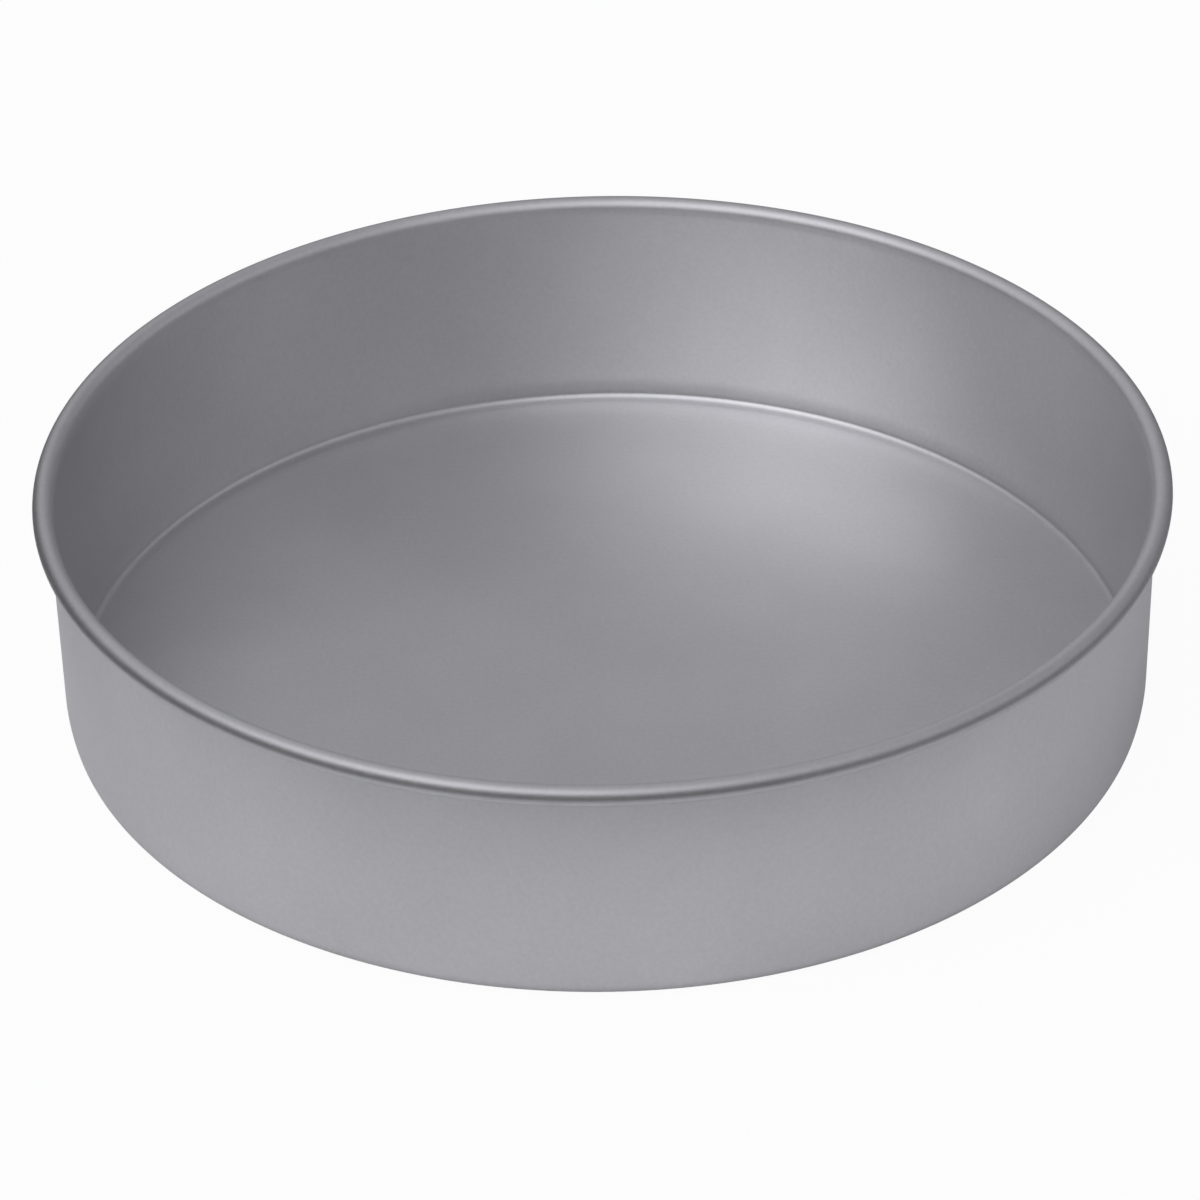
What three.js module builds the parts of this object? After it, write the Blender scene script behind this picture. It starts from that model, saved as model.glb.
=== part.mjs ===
// Round cake pan, 9 by 2 inches: one drawn sheet of anodised aluminium whose rim is rolled over a wire.
// Millimetres, +Z up. The origin is the centre of the underside, so the pan stands on the plane z = 0.
import * as THREE from "three";

// Driving dimensions
const INSIDE_DIAMETER = 228.6; // across the mouth, where the wall runs into the rim
const INSIDE_DEPTH = 50.8; // from the floor to the top of the rim
const SHEET = 1.0; // thickness of the sheet, the same in floor, wall and rim
const WALL_DRAFT = THREE.MathUtils.degToRad(0.7); // how far the wall leans out
const BEND_RADIUS = 16.0; // inside radius over which the foot of the wall bends in
const BEND_LEAN = THREE.MathUtils.degToRad(14); // how far the wall leans in at the end of that bend
const CORNER_RADIUS = 1.8; // inside radius of the tight corner between the bend and the floor
const WIRE_DIAMETER = 1.6;
const WIRE_CLEARANCE = 0.3; // between the wire and the sheet rolled over it
const WIRE_BUTT_GAP = 1.0; // between the two ends of the wire
const HEM_GAP = 0.25; // between the rolled-in edge of the sheet and the wall

// Facets of the round stretches
const STEPS_AROUND = 96;
const BEND_STEPS = 2;
const CORNER_STEPS = 4;
const BEAD_STEPS = 16;
const HOLLOW_STEPS = 8;
const WIRE_SIDES = 8;

// Sizes that follow
const HALF_TURN = Math.PI;
const QUARTER_TURN = Math.PI / 2;
const BEAD_RADIUS = WIRE_DIAMETER / 2 + WIRE_CLEARANCE + SHEET;
const BEAD_HOLLOW_RADIUS = BEAD_RADIUS - SHEET;
const WALL_TOP_RADIUS = INSIDE_DIAMETER / 2;

// Middle of the rolled rim. The inner face of the wall is tangent to the bead there.
const beadCentre = new THREE.Vector2(
  WALL_TOP_RADIUS + BEAD_RADIUS * Math.cos(WALL_DRAFT),
  SHEET + INSIDE_DEPTH - BEAD_RADIUS,
);

// Middles of the two arcs between wall and floor: the wide one is tangent to the wall, the tight one to the floor.
const wallTopHeight = beadCentre.y + BEAD_RADIUS * Math.sin(WALL_DRAFT);
const bendHeight = SHEET + CORNER_RADIUS + (BEND_RADIUS - CORNER_RADIUS) * Math.sin(BEND_LEAN);
const wallSlope = (wallTopHeight - bendHeight) * Math.tan(WALL_DRAFT);
const bendCentre = new THREE.Vector2(
  WALL_TOP_RADIUS - wallSlope - BEND_RADIUS / Math.cos(WALL_DRAFT),
  bendHeight,
);
const cornerCentre = new THREE.Vector2(
  bendCentre.x + (BEND_RADIUS - CORNER_RADIUS) * Math.cos(BEND_LEAN),
  SHEET + CORNER_RADIUS,
);

// The bead turns from the wall over the top and outwards, until its edge is a hem gap from the wall.
const beadStart = HALF_TURN - WALL_DRAFT;
const beadOpening = Math.acos((BEAD_HOLLOW_RADIUS - HEM_GAP) / BEAD_RADIUS);
const beadEnd = beadStart - (2 * HALF_TURN - beadOpening);

/** Points of an arc in the plane of radius and height, both ends included. */
function arc(centre, radius, from, to, steps) {
  return Array.from({ length: steps + 1 }, (_, step) => {
    const angle = from + ((to - from) * step) / steps;
    return new THREE.Vector2(
      centre.x + radius * Math.cos(angle),
      centre.y + radius * Math.sin(angle),
    );
  });
}

/** Points of the corner from wall to floor, on the face this deep in the sheet. */
function corner(depth) {
  return [
    ...arc(bendCentre, BEND_RADIUS + depth, -WALL_DRAFT, -BEND_LEAN, BEND_STEPS),
    ...arc(cornerCentre, CORNER_RADIUS + depth, -BEND_LEAN, -QUARTER_TURN, CORNER_STEPS).slice(1),
  ];
}

/** Section of the sheet: underside, outer wall, inside and outside of the bead, inner wall, floor. */
function sheetSection() {
  return [
    new THREE.Vector2(0, 0),
    ...corner(SHEET).reverse(),
    ...arc(beadCentre, BEAD_HOLLOW_RADIUS, beadStart, beadEnd, HOLLOW_STEPS),
    ...arc(beadCentre, BEAD_RADIUS, beadEnd, beadStart, BEAD_STEPS),
    ...corner(0),
    new THREE.Vector2(0, SHEET),
  ];
}

/** Middle line of the rim wire: a level circle that stops short by the gap between its ends. */
class RimPath extends THREE.Curve {
  getPoint(share, target = new THREE.Vector3()) {
    const gap = WIRE_BUTT_GAP / beadCentre.x;
    const angle = gap / 2 + share * (2 * HALF_TURN - gap);
    return target.set(
      beadCentre.x * Math.cos(angle),
      beadCentre.x * Math.sin(angle),
      beadCentre.y,
    );
  }
}

function makePanBody() {
  const geometry = new THREE.LatheGeometry(sheetSection(), STEPS_AROUND).rotateX(QUARTER_TURN);
  const anodised = new THREE.MeshStandardMaterial({
    color: 0x8b8b92,
    roughness: 0.45,
    metalness: 1,
  });
  const body = new THREE.Mesh(geometry, anodised);
  body.name = "pan_body";
  return body;
}

function makeRimWire() {
  const section = new THREE.Shape().absarc(0, 0, WIRE_DIAMETER / 2, 0, 2 * HALF_TURN);
  const geometry = new THREE.ExtrudeGeometry(section, {
    curveSegments: WIRE_SIDES / 2, // a full circle gets two sides for each of them
    steps: STEPS_AROUND,
    extrudePath: new RimPath(),
  });
  const drawnWire = new THREE.MeshStandardMaterial({
    color: 0xb4b4b8,
    roughness: 0.35,
    metalness: 1,
  });
  const wire = new THREE.Mesh(geometry, drawnWire);
  wire.name = "rim_wire";
  return wire;
}

const cakePan = new THREE.Group();
cakePan.add(makePanBody(), makeRimWire());

export default cakePan;
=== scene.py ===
"""Round cake pan of anodised aluminium: its fine meshes, finishes, light and camera, in metres, +Z up."""
import logging
import math
from dataclasses import dataclass
from enum import Enum

import bmesh
import bpy
from mathutils import Matrix, Vector


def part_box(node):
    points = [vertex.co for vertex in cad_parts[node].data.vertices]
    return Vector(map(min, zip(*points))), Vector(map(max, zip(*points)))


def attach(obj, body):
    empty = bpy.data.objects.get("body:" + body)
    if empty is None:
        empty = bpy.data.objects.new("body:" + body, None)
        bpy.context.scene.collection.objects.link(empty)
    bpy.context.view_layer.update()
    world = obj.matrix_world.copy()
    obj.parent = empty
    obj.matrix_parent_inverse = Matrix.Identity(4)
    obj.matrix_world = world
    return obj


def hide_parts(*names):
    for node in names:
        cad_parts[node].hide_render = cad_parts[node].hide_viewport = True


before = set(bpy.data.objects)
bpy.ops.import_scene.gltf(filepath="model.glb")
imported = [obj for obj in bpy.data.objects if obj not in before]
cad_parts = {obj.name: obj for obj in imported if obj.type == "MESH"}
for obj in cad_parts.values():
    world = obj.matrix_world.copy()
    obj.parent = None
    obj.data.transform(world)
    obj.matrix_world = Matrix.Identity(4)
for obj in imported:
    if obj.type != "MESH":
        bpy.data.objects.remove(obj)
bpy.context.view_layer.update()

MM = 0.001
QUARTER_TURN = math.pi / 2
HALF_TURN = math.pi
FULL_TURN = 2 * math.pi
SHADING_GUARD = 0.2 * MM  # from the end of a straight stretch to the ring that keeps its shading flat
WELD_DISTANCE = 0.001 * MM  # within which the points of a swept mesh become one
CLOUD_DETAIL = 3.0  # finer layers in the soft clouds of a finish
GRAIN_DETAIL = 2.0  # finer layers in its grain
LINE_DETAIL = 2.0  # finer layers in its lines

log = logging.getLogger("cake_pan")

Point = tuple[float, float]
Colour = tuple[float, float, float, float]
Value = float | tuple | Vector | bpy.types.NodeSocket

# colour towards which the painted shade in the tight corner is blended
PAINTED_SHADE_BLACK: Colour = (0.0, 0.0, 0.0, 1.0)


class RingEnds(Enum):
    """How the two ends of a ring meet."""

    JOINED = "one unbroken turn"
    BUTTED = "two ends with a gap between them"


@dataclass(frozen=True)
class PanSizes:
    """Sizes that the sheet and the rim wire share."""

    rim_radius: float
    rim_height: float
    wire_radius: float
    sheet: float = 1.0 * MM
    wall_draft: float = math.radians(0.7)
    bend_radius: float = 16.0 * MM
    bend_lean: float = math.radians(14.0)
    corner_radius: float = 1.8 * MM
    wire_clearance: float = 0.3 * MM
    wire_butt_gap: float = 1.0 * MM
    hem_gap: float = 0.25 * MM
    edge_round: float = 0.2 * MM

    @classmethod
    def from_frame(cls) -> "PanSizes":
        """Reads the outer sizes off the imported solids.

        Returns:
            The sizes, with the rim and the wire as large as their solids.
        """
        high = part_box("pan_body")[1]
        wire_low, wire_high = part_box("rim_wire")
        return cls(high.x, high.z, (wire_high.z - wire_low.z) / 2)

    @property
    def bead_hollow(self) -> float:
        """Radius of the hollow that the rolled rim leaves for the wire."""
        return self.wire_radius + self.wire_clearance

    @property
    def bead_radius(self) -> float:
        """Radius of the outside of the rolled rim."""
        return self.bead_hollow + self.sheet

    @property
    def bead_centre(self) -> Point:
        """Middle of the rolled rim, as radius and height."""
        return self.rim_radius - self.bead_radius, self.rim_height - self.bead_radius

    @property
    def bend_centre(self) -> Point:
        """Works out the middle of the wide arc at the foot of the wall.

        Returns:
            The middle, as radius and height.
        """
        wall_radius, wall_height = polar(self.bead_centre, self.bead_radius, HALF_TURN - self.wall_draft)
        arc_step = self.bend_radius - self.corner_radius
        height = self.sheet + self.corner_radius + arc_step * math.sin(self.bend_lean)
        slope = (wall_height - height) * math.tan(self.wall_draft)
        return wall_radius - slope - self.bend_radius / math.cos(self.wall_draft), height

    @property
    def corner_centre(self) -> Point:
        """Middle of the tight arc between that bend and the floor, as radius and height."""
        return polar(self.bend_centre, self.bend_radius - self.corner_radius, -self.bend_lean)

    def corner(self, depth: float, bend_steps: int, corner_steps: int) -> list[Point]:
        """Makes the points of the corner from wall to floor.

        Args:
            depth: How deep in the sheet the face lies, 0 for the inner face.
            bend_steps: Number of straight steps along the wide arc.
            corner_steps: Number of straight steps along the tight arc.

        Returns:
            The points in order, as radius and height.
        """
        lean = -self.bend_lean
        bend = arc(self.bend_centre, self.bend_radius + depth, -self.wall_draft, lean, bend_steps)
        tight = arc(self.corner_centre, self.corner_radius + depth, lean, -QUARTER_TURN, corner_steps)
        return [*bend, *tight[1:]]


def polar(centre: Point, radius: float, angle: float) -> Point:
    """Point at a distance and an angle from a centre."""
    return centre[0] + radius * math.cos(angle), centre[1] + radius * math.sin(angle)


def arc(centre: Point, radius: float, start: float, end: float, steps: int) -> list[Point]:
    """Makes the points of an arc, with both of its ends.

    Args:
        centre: Middle of the arc, as radius and height.
        radius: Radius of the arc.
        start: Angle of the first point.
        end: Angle of the last point.
        steps: Number of straight steps along the arc.

    Returns:
        The points in order.
    """
    return [polar(centre, radius, start + (end - start) * step / steps) for step in range(steps + 1)]


def straight(start: Point, end: Point, rings: int) -> list[Point]:
    """Makes the points inside a straight stretch, with one close to each end to keep its shading flat.

    Args:
        start: Point before the stretch, which isn't repeated.
        end: Point after the stretch, which isn't repeated.
        rings: Number of even divisions of the stretch.

    Returns:
        The points in order.
    """
    guard = SHADING_GUARD / math.dist(start, end)
    shares = [guard, *(ring / rings for ring in range(1, rings)), 1 - guard]
    return [
        (start[0] + (end[0] - start[0]) * share, start[1] + (end[1] - start[1]) * share)
        for share in shares
    ]


def around(azimuth: float, elevation: float, distance: float) -> Vector:
    """Makes a point at a bearing from the middle of the table.

    Args:
        azimuth: Degrees from +X towards +Y.
        elevation: Degrees above the table.
        distance: Distance from the middle.

    Returns:
        The point.
    """
    turn = math.radians(azimuth)
    lift = math.radians(elevation)
    level = distance * math.cos(lift)
    return Vector((level * math.cos(turn), level * math.sin(turn), distance * math.sin(lift)))


def new_object(name: str, data: bpy.types.ID) -> bpy.types.Object:
    """Adds an object to the scene.

    Args:
        name: Name of the object.
        data: Mesh, lamp or camera that it shows.

    Returns:
        The object, at the origin.
    """
    item = bpy.data.objects.new(name, data)
    bpy.context.scene.collection.objects.link(item)
    return item


def blank_material(name: str) -> bpy.types.Material:
    """Starts a material.

    Args:
        name: Name of the material.

    Returns:
        The material, with an empty node tree.
    """
    material = bpy.data.materials.new(name)
    material.use_nodes = True
    material.node_tree.nodes.clear()
    return material


def face_outwards(mesh: bpy.types.Mesh) -> None:
    """Turns every face of a mesh outwards.

    Args:
        mesh: Closed mesh, changed in place.
    """
    shell = bmesh.new()
    shell.from_mesh(mesh)
    bmesh.ops.recalc_face_normals(shell, faces=shell.faces)
    shell.to_mesh(mesh)
    shell.free()
    mesh.update()


class Wiring:
    """Adds nodes to one tree and links them."""

    def __init__(self, tree: bpy.types.NodeTree) -> None:
        """Keeps the tree that the nodes go into."""
        self.tree = tree

    def add(self, kind: str, **inputs: Value) -> bpy.types.Node:
        """Adds a node and feeds its inputs.

        Args:
            kind: Blender's name of the node type.
            inputs: Values or sockets for the inputs, with _ for a space in their names.

        Returns:
            The new node.
        """
        node = self.tree.nodes.new(kind)
        self._feed_all(node, inputs)
        return node

    def add_group(self, group: bpy.types.NodeTree, **inputs: Value) -> bpy.types.NodeSocket:
        """Places a group of shader nodes and feeds its inputs.

        Args:
            group: Tree of the group.
            inputs: Values or sockets for the inputs, with _ for a space in their names.

        Returns:
            The socket of the group's one output.
        """
        node = self.tree.nodes.new("ShaderNodeGroup")
        node.node_tree = group
        self._feed_all(node, inputs)
        return node.outputs[0]

    def feed(self, socket: bpy.types.NodeSocket, value: Value) -> None:
        """Links a socket to an input, or sets the input's own value.

        Args:
            socket: The input.
            value: Socket to link, or value to set.
        """
        if isinstance(value, bpy.types.NodeSocket):
            self.tree.links.new(value, socket)
        else:
            socket.default_value = value

    def _feed_all(self, node: bpy.types.Node, inputs: dict[str, Value]) -> None:
        """Feeds the inputs of a node by their names."""
        for name, value in inputs.items():
            self.feed(node.inputs[name.replace("_", " ")], value)

    def calculate(self, operation: str, *terms: Value) -> bpy.types.NodeSocket:
        """Calculates with plain numbers, by Blender's name of the operation."""
        return self._operate("ShaderNodeMath", operation, terms).outputs["Value"]

    def _operate(self, kind: str, operation: str, terms: tuple[Value, ...]) -> bpy.types.Node:
        """Adds a node that calculates.

        Args:
            kind: Blender's name of the node type.
            operation: Blender's name of the operation.
            terms: Values or sockets, in order.

        Returns:
            The new node.
        """
        node = self.tree.nodes.new(kind)
        node.operation = operation
        for socket, term in zip(node.inputs, terms):
            self.feed(socket, term)
        return node

    def average(self, first: Value, second: Value) -> bpy.types.NodeSocket:
        """Gives the number halfway between two."""
        return self.calculate("MULTIPLY", self.calculate("ADD", first, second), 0.5)

    def dot(self, first: Value, second: Value) -> bpy.types.NodeSocket:
        """Tells how alike two directions are, 1 where they are the same."""
        return self._operate("ShaderNodeVectorMath", "DOT_PRODUCT", (first, second)).outputs["Value"]

    def from_axis(self, place: Value) -> bpy.types.NodeSocket:
        """Gives the distance of a place from the pan's axis."""
        level = self._operate("ShaderNodeVectorMath", "MULTIPLY", (place, (1.0, 1.0, 0.0)))
        return self._operate("ShaderNodeVectorMath", "LENGTH", (level.outputs["Vector"],)).outputs["Value"]

    def height(self, place: Value) -> bpy.types.NodeSocket:
        """Gives the height of a place above the underside."""
        return self.add("ShaderNodeSeparateXYZ", Vector=place).outputs["Z"]

    def span(self, value: Value, low: Value, high: Value) -> bpy.types.NodeSocket:
        """Spreads a value between 0 and 1 over a span, clamped to its ends."""
        node = self.add("ShaderNodeMapRange", Value=value, To_Min=low, To_Max=high)
        return node.outputs["Result"]

    def rise(self, value: Value, start: float, end: float) -> bpy.types.NodeSocket:
        """Rises softly from 0 to 1, or falls where the end is smaller than the start.

        Args:
            value: Number that is followed.
            start: Where the result is 0.
            end: Where the result is 1.

        Returns:
            The result's socket.
        """
        node = self.add("ShaderNodeMapRange", Value=value, From_Min=start, From_Max=end)
        node.interpolation_type = "SMOOTHSTEP"
        return node.outputs["Result"]

    def blend(self, share: Value, first: Value, second: Value) -> bpy.types.NodeSocket:
        """Mixes two colours.

        Args:
            share: Share of the second colour, from 0 to 1.
            first: The first colour.
            second: The second colour.

        Returns:
            The mixed colour's socket.
        """
        node = self.tree.nodes.new("ShaderNodeMix")
        node.data_type = "RGBA"
        sockets = {socket.identifier: socket for socket in (*node.inputs, *node.outputs)}
        self.feed(sockets["Factor_Float"], share)
        self.feed(sockets["A_Color"], first)
        self.feed(sockets["B_Color"], second)
        return sockets["Result_Color"]


class RingSweep:
    """Geometry Nodes tree that carries a section round a level ring."""

    def __init__(self) -> None:
        """Builds the tree with its named inputs."""
        self.tree = bpy.data.node_groups.new("ring_sweep", "GeometryNodeTree")
        self.identifiers: dict[str, str] = {}
        for name, kind in (
            ("Section", "NodeSocketGeometry"),
            ("Ring Radius", "NodeSocketFloat"),
            ("Ring Points", "NodeSocketInt"),
            ("Start Angle", "NodeSocketFloat"),
            ("Sweep Angle", "NodeSocketFloat"),
            ("Joined", "NodeSocketBool"),
            ("Weld Distance", "NodeSocketFloat"),
            ("Finish", "NodeSocketMaterial"),
        ):
            socket = self.tree.interface.new_socket(name, in_out="INPUT", socket_type=kind)
            self.identifiers[name] = socket.identifier
        self.tree.interface.new_socket("Ring", in_out="OUTPUT", socket_type="NodeSocketGeometry")
        self._wire()

    def _wire(self) -> None:
        """Links the section, the ring and the finish."""
        wiring = Wiring(self.tree)
        given = wiring.add("NodeGroupInput").outputs
        ring = wiring.add(
            "GeometryNodeCurveArc",
            Resolution=given["Ring Points"],
            Radius=given["Ring Radius"],
            Start_Angle=given["Start Angle"],
            Sweep_Angle=given["Sweep Angle"],
        )
        closed = wiring.add(
            "GeometryNodeSetSplineCyclic",
            Geometry=ring.outputs["Curve"],
            Cyclic=given["Joined"],
        )
        upright = wiring.add("GeometryNodeSetCurveNormal", Curve=closed.outputs["Geometry"])
        upright.mode = "Z_UP"
        section = wiring.add("GeometryNodeMeshToCurve", Mesh=given["Section"])
        swept = wiring.add(
            "GeometryNodeCurveToMesh",
            Curve=upright.outputs["Curve"],
            Profile_Curve=section.outputs["Curve"],
            Fill_Caps=True,
        )
        welded = wiring.add(
            "GeometryNodeMergeByDistance",
            Geometry=swept.outputs["Mesh"],
            Distance=given["Weld Distance"],
        )
        smooth = wiring.add("GeometryNodeSetShadeSmooth", Geometry=welded.outputs["Geometry"])
        real = wiring.add("GeometryNodeRealizeInstances", Geometry=smooth.outputs["Geometry"])
        dressed = wiring.add(
            "GeometryNodeSetMaterial",
            Geometry=real.outputs["Geometry"],
            Material=given["Finish"],
        )
        wiring.add("NodeGroupOutput", Ring=dressed.outputs["Geometry"])

    def sweep(
        self,
        name: str,
        section: list[Point],
        closed_section: bool,
        ring_radius: float,
        steps: int,
        ends: RingEnds,
        gap: float,
        finish: bpy.types.Material,
    ) -> bpy.types.Object:
        """Carries a section round the axis and leaves a plain mesh.

        Args:
            name: Name of the new object.
            section: Points as radius and height.
            closed_section: Whether the last point joins the first.
            ring_radius: Radius of the ring that the section follows.
            steps: Number of straight steps round the ring.
            ends: How the ring's two ends meet.
            gap: Distance between the ends where they are butted.
            finish: Material of the piece.

        Returns:
            The object, with its place in its mesh.
        """
        joined = ends is RingEnds.JOINED
        open_angle = FULL_TURN / steps if joined else gap / ring_radius
        inputs = {
            "Ring Radius": ring_radius,
            "Ring Points": steps if joined else steps + 1,
            "Start Angle": 0.0 if joined else open_angle / 2,
            "Sweep Angle": FULL_TURN - open_angle,
            "Joined": joined,
            "Weld Distance": WELD_DISTANCE,
            "Finish": finish,
        }
        piece = self._section_object(name, section, closed_section, ring_radius)
        modifier = piece.modifiers.new("ring_sweep", "NODES")
        modifier.node_group = self.tree
        for input_name, value in inputs.items():
            modifier[self.identifiers[input_name]] = value
        drawn = piece.evaluated_get(bpy.context.evaluated_depsgraph_get())
        mesh = bpy.data.meshes.new_from_object(drawn)
        section_mesh = piece.data
        piece.modifiers.clear()
        piece.data = mesh
        bpy.data.meshes.remove(section_mesh)
        mesh.name = name
        face_outwards(mesh)
        return piece

    @staticmethod
    def _section_object(
        name: str, section: list[Point], closed_section: bool, ring_radius: float
    ) -> bpy.types.Object:
        """Lays a section out flat, its radius along X and its height along -Y.

        Args:
            name: Name of the new object.
            section: Points as radius and height.
            closed_section: Whether the last point joins the first.
            ring_radius: Radius that lies at the origin.

        Returns:
            The object, with the section as edges.
        """
        vertices = [(radius - ring_radius, -height, 0.0) for radius, height in section]
        edges = [(index, index + 1) for index in range(len(section) - 1)]
        if closed_section:
            edges.append((len(section) - 1, 0))
        mesh = bpy.data.meshes.new(name + "_section")
        mesh.from_pydata(vertices, edges, [])
        return new_object(name, mesh)


class SurfaceMarks:
    """Shader node groups for the marks that the finishes share."""

    def __init__(self) -> None:
        """Builds each group once."""
        self.mottle = self._make_mottle()
        self.ring_marks = self._make_ring_marks()

    @staticmethod
    def _group(name: str, inputs: tuple[tuple[str, str], ...], output: str) -> bpy.types.NodeTree:
        """Starts a group.

        Args:
            name: Name of the group.
            inputs: Name and socket type of each input.
            output: Name of its one output, a plain value.

        Returns:
            The group, without nodes.
        """
        tree = bpy.data.node_groups.new(name, "ShaderNodeTree")
        for input_name, kind in inputs:
            tree.interface.new_socket(input_name, in_out="INPUT", socket_type=kind)
        tree.interface.new_socket(output, in_out="OUTPUT", socket_type="NodeSocketFloat")
        return tree

    def _make_mottle(self) -> bpy.types.NodeTree:
        """Makes soft spots of one size, as a value from 0 to 1.

        Returns:
            The group, with the inputs Vector, Spot Size and Detail and the output Tone.
        """
        tree = self._group(
            "mottle",
            (
                ("Vector", "NodeSocketVector"),
                ("Spot Size", "NodeSocketFloat"),
                ("Detail", "NodeSocketFloat"),
            ),
            "Tone",
        )
        wiring = Wiring(tree)
        given = wiring.add("NodeGroupInput").outputs
        spots = wiring.add(
            "ShaderNodeTexNoise",
            Vector=given["Vector"],
            Scale=wiring.calculate("DIVIDE", 1.0, given["Spot Size"]),
            Detail=given["Detail"],
        )
        wiring.add("NodeGroupOutput", Tone=spots.outputs["Fac"])
        return tree

    def _make_ring_marks(self) -> bpy.types.NodeTree:
        """Makes fine lines round the axis that come and go along their length.

        Returns:
            The group, with the inputs Vector, Line Spacing and Line Length and the output Height.
        """
        tree = self._group(
            "ring_marks",
            (
                ("Vector", "NodeSocketVector"),
                ("Line Spacing", "NodeSocketFloat"),
                ("Line Length", "NodeSocketFloat"),
            ),
            "Height",
        )
        wiring = Wiring(tree)
        given = wiring.add("NodeGroupInput").outputs
        place = wiring.add("ShaderNodeSeparateXYZ", Vector=given["Vector"]).outputs
        across = wiring.calculate("ADD", wiring.from_axis(given["Vector"]), place["Z"])
        lines = wiring.add(
            "ShaderNodeCombineXYZ",
            X=wiring.calculate("DIVIDE", across, given["Line Spacing"]),
            Y=wiring.calculate("DIVIDE", place["X"], given["Line Length"]),
            Z=wiring.calculate("DIVIDE", place["Y"], given["Line Length"]),
        )
        noise = wiring.add(
            "ShaderNodeTexNoise",
            Vector=lines.outputs["Vector"],
            Scale=1.0,
            Detail=LINE_DETAIL,
        )
        wiring.add("NodeGroupOutput", Height=noise.outputs["Fac"])
        return tree


@dataclass(frozen=True)
class MetalFinish:
    """One finish of aluminium, with the marks that its surface shows."""

    name: str
    slot: str
    dark: Colour
    light: Colour
    edge_tint: Colour
    smoothest: float
    roughest: float
    cloud_size: float
    grain_size: float
    grain_height: float
    line_spacing: float
    line_length: float
    line_height: float

    def material(self, marks: SurfaceMarks) -> bpy.types.Material:
        """Makes the material.

        Args:
            marks: Node groups of the marks.

        Returns:
            The material, on Object coordinates.
        """
        material = blank_material(self.name)
        wiring = Wiring(material.node_tree)
        place = wiring.add("ShaderNodeTexCoord").outputs["Object"]
        clouds = wiring.add_group(marks.mottle, Vector=place, Spot_Size=self.cloud_size, Detail=CLOUD_DETAIL)
        grain = wiring.add_group(marks.mottle, Vector=place, Spot_Size=self.grain_size, Detail=GRAIN_DETAIL)
        lines = wiring.add_group(
            marks.ring_marks,
            Vector=place,
            Line_Spacing=self.line_spacing,
            Line_Length=self.line_length,
        )
        tone = wiring.blend(wiring.average(clouds, grain), self.dark, self.light)
        relief = wiring.calculate(
            "ADD",
            wiring.calculate("MULTIPLY", grain, self.grain_height),
            wiring.calculate("MULTIPLY", lines, self.line_height),
        )
        bump = wiring.add("ShaderNodeBump", Height=relief, Strength=1.0, Distance=1.0)
        metal = wiring.add(
            "ShaderNodeBsdfPrincipled",
            Base_Color=self._tone(wiring, place, tone),
            Metallic=1.0,
            Specular_Tint=self.edge_tint,
            Roughness=self._roughness(wiring, place, grain),
            Normal=bump.outputs["Normal"],
        )
        wiring.add("ShaderNodeOutputMaterial", Surface=metal.outputs["BSDF"])
        return material

    def _tone(
        self, wiring: Wiring, place: bpy.types.NodeSocket, tone: bpy.types.NodeSocket
    ) -> bpy.types.NodeSocket:
        """Keeps the same colours at every place."""
        return tone

    def _roughness(
        self, wiring: Wiring, place: bpy.types.NodeSocket, grain: bpy.types.NodeSocket
    ) -> bpy.types.NodeSocket:
        """Spreads the grain over the finish's span of roughness, the same at every place."""
        return wiring.span(grain, self.smoothest, self.roughest)


@dataclass(frozen=True)
class DrawnSheetFinish(MetalFinish):
    """A finish that changes by place: a smoother wall, a dull rim and painted shade in the tight corner.

    The heights of the wall and the corner are counted up from the floor, those of the rim down from its
    top, and the corner's start and full depth of shade outwards from the edge of the flat floor.
    """

    sizes: PanSizes
    wall_roughness: float = -0.04
    wall_start: float = 0.05 * MM
    wall_full: float = 0.3 * MM
    # painted shade: share by which the colour of the tight corner darkens towards black
    painted_corner_shade: float = 0.13
    corner_start: float = 0.15 * MM
    corner_full: float = 0.65 * MM
    corner_height: float = 2.2 * MM
    rim_roughness: float = 0.17
    rim_start: float = 3.8 * MM
    rim_full: float = 2.6 * MM

    def _roughness(
        self, wiring: Wiring, place: bpy.types.NodeSocket, grain: bpy.types.NodeSocket
    ) -> bpy.types.NodeSocket:
        """Makes the wall smoother than the floor, and the rim duller.

        Args:
            wiring: Nodes of the material.
            place: Place on the piece.
            grain: Grain at that place.

        Returns:
            The roughness at that place.
        """
        floor = self.sizes.sheet
        top = self.sizes.rim_height
        height = wiring.height(place)
        on_wall = wiring.rise(height, floor + self.wall_start, floor + self.wall_full)
        on_rim = wiring.rise(height, top - self.rim_start, top - self.rim_full)
        flat = super()._roughness(wiring, place, grain)
        wall = wiring.calculate("MULTIPLY_ADD", on_wall, self.wall_roughness, flat)
        return wiring.calculate("MULTIPLY_ADD", on_rim, self.rim_roughness, wall)

    def _tone(
        self, wiring: Wiring, place: bpy.types.NodeSocket, tone: bpy.types.NodeSocket
    ) -> bpy.types.NodeSocket:
        """Paints shade into the colour on both sides of the tight corner, on the inside and at the outer
        bottom edge.

        Args:
            wiring: Nodes of the material.
            place: Place on the piece.
            tone: Colour of the metal at that place.

        Returns:
            The colour with the corner's painted shade.
        """
        floor = self.sizes.sheet
        edge = self.sizes.corner_centre[0]
        past_floor = wiring.rise(wiring.from_axis(place), edge + self.corner_start, edge + self.corner_full)
        below_wall = wiring.rise(wiring.height(place), floor + self.corner_height, floor + self.wall_full)
        # painted shade: the corner's colour is blended towards black, inside and at the outer bottom edge
        painted_shade_mask = wiring.calculate("MULTIPLY", past_floor, below_wall)
        return wiring.blend(wiring.calculate("MULTIPLY", painted_shade_mask, self.painted_corner_shade), tone, PAINTED_SHADE_BLACK)


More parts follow.
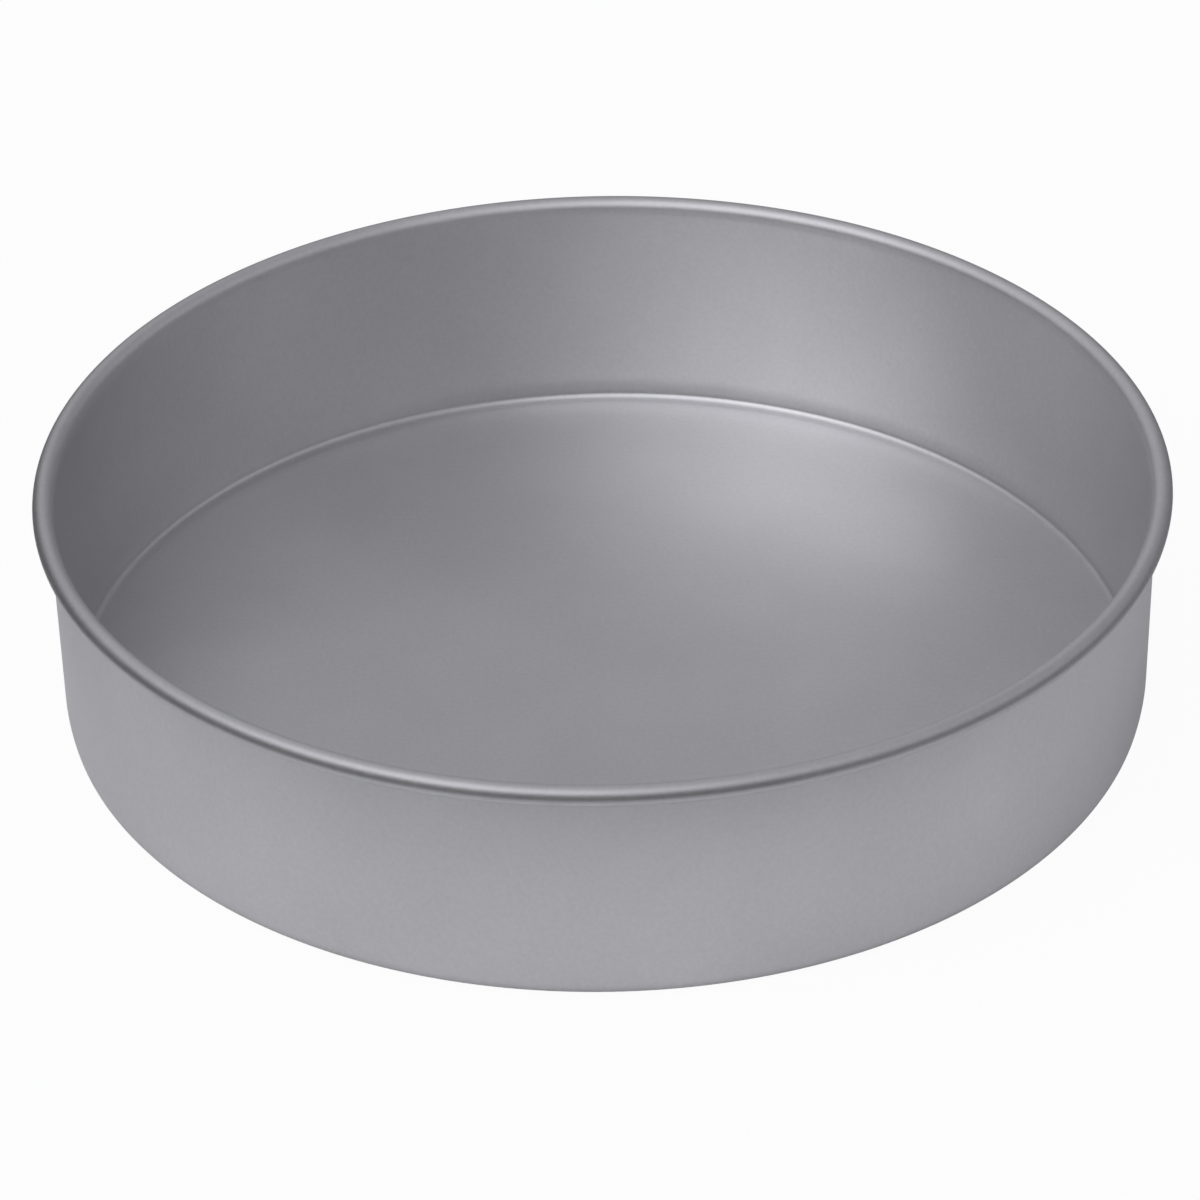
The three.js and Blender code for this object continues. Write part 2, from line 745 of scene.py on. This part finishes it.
def anodised_sheet(sizes: PanSizes) -> DrawnSheetFinish:
    """Finish of the drawn sheet, laid out by the pan's sizes."""
    return DrawnSheetFinish(
        name="satin_anodised_aluminium",
        slot="anodised_sheet",
        dark=(0.6, 0.6, 0.605, 1.0),
        light=(0.79, 0.79, 0.795, 1.0),
        edge_tint=(0.9, 0.9, 0.9, 1.0),
        smoothest=0.4,
        roughest=0.44,
        cloud_size=30 * MM,
        grain_size=1.0 * MM,
        grain_height=0.016 * MM,
        line_spacing=0.6 * MM,
        line_length=60 * MM,
        line_height=0.003 * MM,
        sizes=sizes,
    )


def drawn_wire() -> MetalFinish:
    """Finish of the bare wire."""
    return MetalFinish(
        name="drawn_aluminium_wire",
        slot="drawn_wire",
        dark=(0.62, 0.62, 0.64, 1.0),
        light=(0.72, 0.72, 0.74, 1.0),
        edge_tint=(1.0, 1.0, 1.0, 1.0),
        smoothest=0.28,
        roughest=0.36,
        cloud_size=8 * MM,
        grain_size=0.1 * MM,
        grain_height=0.001 * MM,
        line_spacing=0.08 * MM,
        line_length=20 * MM,
        line_height=0.004 * MM,
    )


@dataclass
class PanBody:
    """The drawn sheet: floor, corner, wall and the rim rolled over the wire."""

    sizes: PanSizes
    finish: MetalFinish
    steps_around: int = 288
    bend_steps: int = 12
    corner_steps: int = 24
    bead_steps: int = 56
    hollow_steps: int = 28
    edge_steps: int = 5
    floor_rings: int = 9
    wall_rings: int = 4

    def section(self) -> list[Point]:
        """Draws the section of the sheet, from the middle of the underside to the middle of the floor.

        Returns:
            Points as radius and height.
        """
        sizes = self.sizes
        outer = sizes.corner(sizes.sheet, self.bend_steps, self.corner_steps)[::-1]
        inner = sizes.corner(0.0, self.bend_steps, self.corner_steps)
        rim = self._rim()
        underside_middle = (0.0, 0.0)
        floor_middle = (0.0, sizes.sheet)
        return [
            underside_middle,
            *straight(underside_middle, outer[0], self.floor_rings),
            *outer,
            *straight(outer[-1], rim[0], self.wall_rings),
            *rim,
            *straight(rim[-1], inner[0], self.wall_rings),
            *inner,
            *straight(inner[-1], floor_middle, self.floor_rings),
            floor_middle,
        ]

    def _rim(self) -> list[Point]:
        """Draws the rolled rim: the hollow, the rounded cut edge of the sheet, and the outside.

        Returns:
            Points as radius and height.
        """
        sizes = self.sizes
        start = HALF_TURN - sizes.wall_draft
        end = start - FULL_TURN + math.acos((sizes.bead_hollow - sizes.hem_gap) / sizes.bead_radius)
        inner_reach = sizes.bead_hollow + sizes.edge_round
        outer_reach = sizes.bead_radius - sizes.edge_round
        inner_end = end + math.asin(sizes.edge_round / inner_reach)
        outer_end = end + math.asin(sizes.edge_round / outer_reach)
        inner_edge = polar(sizes.bead_centre, inner_reach, inner_end)
        outer_edge = polar(sizes.bead_centre, outer_reach, outer_end)
        edge_face = end - QUARTER_TURN
        return [
            *arc(sizes.bead_centre, sizes.bead_hollow, start, inner_end, self.hollow_steps),
            *arc(inner_edge, sizes.edge_round, inner_end - HALF_TURN, edge_face, self.edge_steps)[1:],
            *arc(outer_edge, sizes.edge_round, edge_face, outer_end, self.edge_steps)[:-1],
            *arc(sizes.bead_centre, sizes.bead_radius, outer_end, start, self.bead_steps),
        ]

    def build(self, sweep: RingSweep, marks: SurfaceMarks) -> bpy.types.Object:
        """Turns the section round the axis and dresses it.

        Args:
            sweep: Tree that carries a section round a ring.
            marks: Node groups of the finish.

        Returns:
            The finished piece, in the place of its solid.
        """
        piece = sweep.sweep(
            name="pan_body_sheet",
            section=self.section(),
            closed_section=False,
            ring_radius=self.sizes.bead_centre[0],
            steps=self.steps_around,
            ends=RingEnds.JOINED,
            gap=0.0,
            finish=self.finish.material(marks),
        )
        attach(piece, "root")
        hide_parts("pan_body")
        return piece


@dataclass
class RimWire:
    """The ring of round wire inside the rolled rim."""

    sizes: PanSizes
    finish: MetalFinish
    steps_around: int = 288
    sides: int = 20

    def section(self) -> list[Point]:
        """Draws the round section of the wire as radius and height."""
        return arc(self.sizes.bead_centre, self.sizes.wire_radius, 0.0, FULL_TURN, self.sides)[:-1]

    def build(self, sweep: RingSweep, marks: SurfaceMarks) -> bpy.types.Object:
        """Bends the wire round the rim and dresses it.

        Args:
            sweep: Tree that carries a section round a ring.
            marks: Node groups of the finish.

        Returns:
            The finished piece, in the place of its solid.
        """
        piece = sweep.sweep(
            name="rim_wire_ring",
            section=self.section(),
            closed_section=True,
            ring_radius=self.sizes.bead_centre[0],
            steps=self.steps_around,
            ends=RingEnds.BUTTED,
            gap=self.sizes.wire_butt_gap,
            finish=self.finish.material(marks),
        )
        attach(piece, "root")
        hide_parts("rim_wire")
        return piece


@dataclass(frozen=True)
class Softbox:
    """An oblong lamp with a soft front, aimed at the middle of the table. Its angles are in degrees."""

    name: str
    azimuth: float
    elevation: float
    distance: float
    width: float
    height: float
    power: float

    def light(self) -> None:
        """Hangs the lamp."""
        data = bpy.data.lights.new(self.name, "AREA")
        data.shape = "RECTANGLE"
        data.size = self.width
        data.size_y = self.height
        data.energy = self.power
        lamp = new_object(self.name, data)
        lamp.location = around(self.azimuth, self.elevation, self.distance)
        lamp.rotation_euler = lamp.location.to_track_quat("Z", "Y").to_euler()


@dataclass(frozen=True)
class Glow:
    """A soft round patch of light in the surround, full in its middle and gone at its reach, in degrees."""

    azimuth: float
    elevation: float
    reach: float
    strength: float

    def wire(self, wiring: Wiring, direction: bpy.types.NodeSocket) -> bpy.types.NodeSocket:
        """Adds the glow's nodes.

        Args:
            wiring: Nodes of the surround.
            direction: Direction that is looked in.

        Returns:
            The glow's light in that direction.
        """
        facing = wiring.dot(direction, around(self.azimuth, self.elevation, 1.0))
        share = wiring.rise(facing, math.cos(math.radians(self.reach)), 1.0)
        return wiring.calculate("MULTIPLY", share, self.strength)


@dataclass(frozen=True)
class BentCard:
    """A bent grey card on the table that only reflections show, a painted dark reflection in place of shaded
    table, from one azimuth in degrees to another.
    """

    name: str
    start: float
    end: float
    grey: float
    radius: float
    height: float
    steps: int = 48

    def stand(self) -> None:
        """Stands the card up round the pan."""
        turn = (self.end - self.start) / self.steps
        feet = [around(self.start + turn * step, 0.0, self.radius) for step in range(self.steps + 1)]
        tops = [foot + Vector((0.0, 0.0, self.height)) for foot in feet]
        row = len(feet)
        faces = [(step, step + 1, row + step + 1, row + step) for step in range(self.steps)]
        mesh = bpy.data.meshes.new(self.name)
        mesh.from_pydata(feet + tops, [], faces)
        mesh.materials.append(self._material())
        card = new_object(self.name, mesh)
        # painted dark reflection: the card is seen only in reflections, in place of the shaded table and dim
        # surroundings
        card.visible_camera = False
        card.visible_diffuse = False
        card.visible_shadow = False

    def _material(self) -> bpy.types.Material:
        """Makes the card's dull grey.

        Returns:
            The material.
        """
        material = blank_material(self.name)
        wiring = Wiring(material.node_tree)
        paint = wiring.add("ShaderNodeBsdfDiffuse", Color=(self.grey, self.grey, self.grey, 1.0))
        wiring.add("ShaderNodeOutputMaterial", Surface=paint.outputs["BSDF"])
        return material


@dataclass
class Studio:
    """White table, soft surround, grey cards and a softbox."""

    table_radius: float = 6.0
    table_sides: int = 128
    table_drop: float = 0.1 * MM
    table_colour: Colour = (0.93, 0.93, 0.93, 1.0)
    seen_glow: float = 0.95
    mirrored_glow: float = 0.03
    light_colour: Colour = (0.98, 0.98, 1.04, 1.0)
    surround_light: float = 0.2
    glows: tuple[Glow, ...] = (
        Glow(azimuth=232.0, elevation=49.0, reach=50.0, strength=1.16),
        Glow(azimuth=341.0, elevation=2.0, reach=77.0, strength=0.34),
        Glow(azimuth=125.0, elevation=33.0, reach=67.0, strength=0.28),
    )
    cards: tuple[BentCard, ...] = (
        BentCard("front_card", start=150.0, end=300.0, grey=0.09, radius=0.2, height=0.12),
        BentCard("back_card", start=300.0, end=510.0, grey=0.3, radius=0.19, height=0.085),
    )
    softbox: Softbox = Softbox(
        "key_softbox", azimuth=226.0, elevation=40.0, distance=1.5, width=1.2, height=0.9, power=1.2
    )

    def build(self) -> None:
        """Makes the table, the surround, the cards and the softbox."""
        self._table()
        self._surround()
        for card in self.cards:
            card.stand()
        self.softbox.light()

    def _table(self) -> None:
        """Lays a round white table top just under the pan."""
        top = bmesh.new()
        bmesh.ops.create_circle(top, cap_ends=True, segments=self.table_sides, radius=self.table_radius)
        bmesh.ops.translate(top, verts=top.verts, vec=(0.0, 0.0, -self.table_drop))
        mesh = bpy.data.meshes.new("table_top")
        top.to_mesh(mesh)
        top.free()
        mesh.materials.append(self._table_material())
        new_object("table_top", mesh)

    def _table_material(self) -> bpy.types.Material:
        """Makes a white that stays white where it is looked at, and keeps the pan's shadow.

        Returns:
            The material.
        """
        material = blank_material("white_table")
        wiring = Wiring(material.node_tree)
        paint = wiring.add("ShaderNodeBsdfDiffuse", Color=self.table_colour)
        glow = wiring.add("ShaderNodeEmission", Strength=1.0)
        mixed = wiring.add("ShaderNodeMixShader", Fac=self._glow_share(wiring))
        first, second = mixed.inputs[1:]
        wiring.feed(first, paint.outputs["BSDF"])
        wiring.feed(second, glow.outputs["Emission"])
        wiring.add("ShaderNodeOutputMaterial", Surface=mixed.outputs["Shader"])
        return material

    def _glow_share(self, wiring: Wiring) -> bpy.types.NodeSocket:
        """Gives the table's share of plain white: most where it is seen, little in a reflection.

        Args:
            wiring: Nodes of the table's material.

        Returns:
            The share, which is 0 for the light that the table throws back.
        """
        rays = wiring.add("ShaderNodeLightPath").outputs
        mirrored = wiring.calculate("MAXIMUM", rays["Is Glossy Ray"], rays["Is Transmission Ray"])
        return wiring.calculate(
            "MAXIMUM",
            wiring.calculate("MULTIPLY", rays["Is Camera Ray"], self.seen_glow),
            wiring.calculate("MULTIPLY", mirrored, self.mirrored_glow),
        )

    def _surround(self) -> None:
        """Sets a soft light from all round with brighter glows in it."""
        world = bpy.data.worlds.new("studio_surround")
        world.use_nodes = True
        world.node_tree.nodes.clear()
        wiring = Wiring(world.node_tree)
        direction = wiring.add("ShaderNodeTexCoord").outputs["Generated"]
        strength = self.surround_light
        for glow in self.glows:
            strength = wiring.calculate("ADD", strength, glow.wire(wiring, direction))
        light = wiring.add("ShaderNodeBackground", Color=self.light_colour, Strength=strength)
        wiring.add("ShaderNodeOutputWorld", Surface=light.outputs["Background"])
        bpy.context.scene.world = world


@dataclass(frozen=True)
class PhotoCamera:
    """The camera at the photograph's place, in metres, with its lens and sensor in millimetres."""

    eye: tuple[float, float, float] = (0.0, -0.94206, 0.63017)
    aim: tuple[float, float, float] = (-0.00092, 0.0, 0.01850)
    roll: float = math.radians(-1.10)
    lens: float = 159.14
    sensor: float = 36.0

    def place(self) -> None:
        """Sets the camera up and makes it the scene's own."""
        data = bpy.data.cameras.new("photo_camera")
        data.lens = self.lens
        data.sensor_width = self.sensor
        eye = Vector(self.eye)
        back = (eye - Vector(self.aim)).normalized()
        level = Vector((0.0, 0.0, 1.0)).cross(back).normalized()
        upright = back.cross(level)
        right = level * math.cos(self.roll) + upright * math.sin(self.roll)
        turn = Matrix((right, back.cross(right), back)).transposed()
        camera = new_object("photo_camera", data)
        camera.matrix_world = Matrix.Translation(eye) @ turn.to_4x4()
        bpy.context.scene.camera = camera


def report(piece: bpy.types.Object) -> None:
    """Logs a finished piece with its number of faces."""
    log.info("%s: %d faces", piece.name, len(piece.data.polygons))


def main() -> None:
    """Builds the camera, the pan and the studio, in order."""
    logging.basicConfig(level=logging.INFO, format="%(name)s: %(message)s")
    bpy.context.scene.view_settings.view_transform = "Standard"
    PhotoCamera().place()
    sizes = PanSizes.from_frame()
    sweep = RingSweep()
    marks = SurfaceMarks()
    for assembly in (PanBody(sizes, anodised_sheet(sizes)), RimWire(sizes, drawn_wire())):
        report(assembly.build(sweep, marks))
    Studio().build()


if __name__ == "__main__":
    main()
